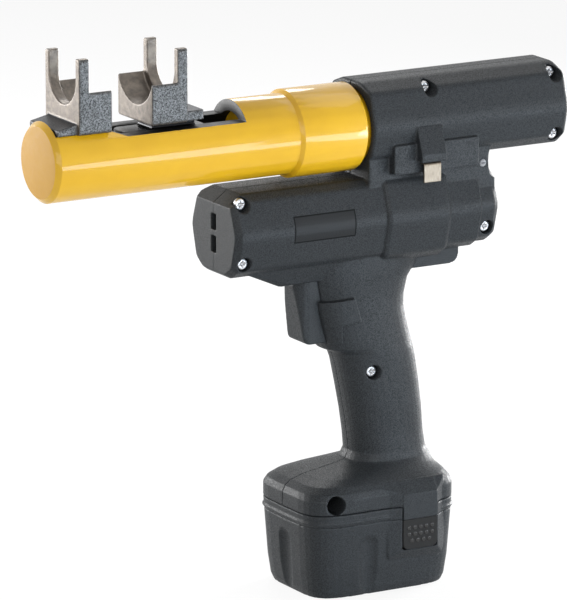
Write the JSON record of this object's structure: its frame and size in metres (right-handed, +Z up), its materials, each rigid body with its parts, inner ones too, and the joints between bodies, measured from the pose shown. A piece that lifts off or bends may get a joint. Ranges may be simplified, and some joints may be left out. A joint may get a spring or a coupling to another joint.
{
  "type": "pex press tool",
  "caption": "Cordless pistol-grip axial press: slotted frame with a fixed and a sliding fork head, hydraulic ram, motor pod, trigger and clip-on battery.",
  "frame": {"origin": "floor level under the middle of the tool's length and width, where the battery stands", "axes": "+X from the nose to the rear of the barrel, +Y to the tool's right side, +Z up"},
  "size_m": [0.294, 0.0692, 0.291],
  "materials": {
    "plastic": "fine textured dark blue-grey moulding",
    "yellow": "glossy golden yellow paint",
    "cast": "rough cast steel with worn faces",
    "black_steel": "blackened, oiled steel",
    "steel": "ground steel",
    "zinc": "bright zinc plate",
    "bronze": "sintered bronze",
    "rubber": "oil resistant rubber",
    "spring": "spring steel wire",
    "ivory": "plain moulded plastic",
    "black_plastic": "plain black plastic",
    "board": "green circuit board",
    "cell": "wrapped steel cell cans",
    "copper": "varnished copper windings on a steel core"
  },
  "bodies": {
    "housing": {"left_housing": "plastic", "right_housing": "plastic", "press_frame": "yellow", "rod_gland": "bronze", "return_spring": "spring", "pump_block": "steel", "relief_valve": "bronze", "pump_plunger": "steel", "plunger_spring": "spring", "oil_bladder": "rubber", "motor_can": "zinc", "motor_magnets": "black_steel", "motor_end_cap": "ivory", "ring_gear": "steel", "carrier_bearing": "steel", "tail_bush": "bronze", "housing_screws": "zinc", "strap_clip": "zinc", "trigger_spring": "spring", "trigger_switch": "black_plastic", "control_board": "board", "contact_block": "black_plastic"},
    "fixed_head": {"fixed_head": "cast"},
    "ram": {"head_carriage": "black_steel", "piston_rod": "steel", "piston": "steel", "piston_seal": "rubber", "piston_nut": "zinc"},
    "moving_head": {"moving_head": "cast"},
    "rotor": {"armature": "copper", "motor_fan": "ivory", "sun_pinion": "steel"},
    "carrier": {"planet_carrier": "steel", "eccentric_bearing": "steel"},
    "planet_1": {"planet_gear_1": "steel"},
    "planet_2": {"planet_gear_2": "steel"},
    "planet_3": {"planet_gear_3": "steel"},
    "trigger": {"trigger": "plastic"},
    "battery": {"battery_case": "plastic", "battery_cover": "plastic", "battery_cells": "cell", "left_latch_spring": "spring", "right_latch_spring": "spring"},
    "left_latch": {"left_latch_button": "black_plastic"},
    "right_latch": {"right_latch_button": "black_plastic"}
  },
  "joints": [
    {"name": "ram_slide", "type": "slide", "parent": "housing", "child": "ram", "axis": [-1, 0, 0], "range_m": [-0.022, 0.018], "deforming": ["return_spring"]},
    {"name": "fixed_head_lift", "type": "slide", "parent": "housing", "child": "fixed_head", "axis": [0, 0, 1], "range_m": [0, 0.03]},
    {"name": "moving_head_lift", "type": "slide", "parent": "ram", "child": "moving_head", "axis": [0, 0, 1], "range_m": [0, 0.03]},
    {"name": "rotor_spin", "type": "hinge", "parent": "housing", "child": "rotor", "pos_m": [-0.00505, 0, 0.1915], "axis": [1, 0, 0], "continuous": true},
    {"name": "carrier_spin", "type": "hinge", "parent": "housing", "child": "carrier", "pos_m": [0.05695, 0, 0.1915], "axis": [1, 0, 0], "continuous": true},
    {"name": "planet_1_spin", "type": "hinge", "parent": "carrier", "child": "planet_1", "pos_m": [0.04765, 0, 0.20162], "axis": [1, 0, 0], "continuous": true},
    {"name": "planet_2_spin", "type": "hinge", "parent": "carrier", "child": "planet_2", "pos_m": [0.04765, -0.00877, 0.18644], "axis": [1, 0, 0], "continuous": true},
    {"name": "planet_3_spin", "type": "hinge", "parent": "carrier", "child": "planet_3", "pos_m": [0.04765, 0.00877, 0.18644], "axis": [1, 0, 0], "continuous": true},
    {"name": "trigger_pull", "type": "slide", "parent": "housing", "child": "trigger", "axis": [1, 0, 0], "range_m": [0, 0.006], "stiffness_N_per_m": 700, "springref_m": -0.006, "deforming": ["trigger_spring"]},
    {"name": "battery_slide", "type": "slide", "parent": "housing", "child": "battery", "axis": [0, 0, -1], "range_m": [0, 0.045]},
    {"name": "left_latch_press", "type": "slide", "parent": "battery", "child": "left_latch", "axis": [0, 1, 0], "range_m": [0, 0.0025], "stiffness_N_per_m": 1200, "springref_m": -0.002, "deforming": ["left_latch_spring"]},
    {"name": "right_latch_press", "type": "slide", "parent": "battery", "child": "right_latch", "axis": [0, -1, 0], "range_m": [0, 0.0025], "stiffness_N_per_m": 1200, "springref_m": -0.002, "deforming": ["right_latch_spring"]}
  ],
  "couplings": [
    {"joint": "carrier_spin", "follows": "rotor_spin", "ratio": 0.22222},
    {"joint": "planet_1_spin", "follows": "rotor_spin", "ratio": -0.62222},
    {"joint": "planet_2_spin", "follows": "rotor_spin", "ratio": -0.62222},
    {"joint": "planet_3_spin", "follows": "rotor_spin", "ratio": -0.62222}
  ]
}
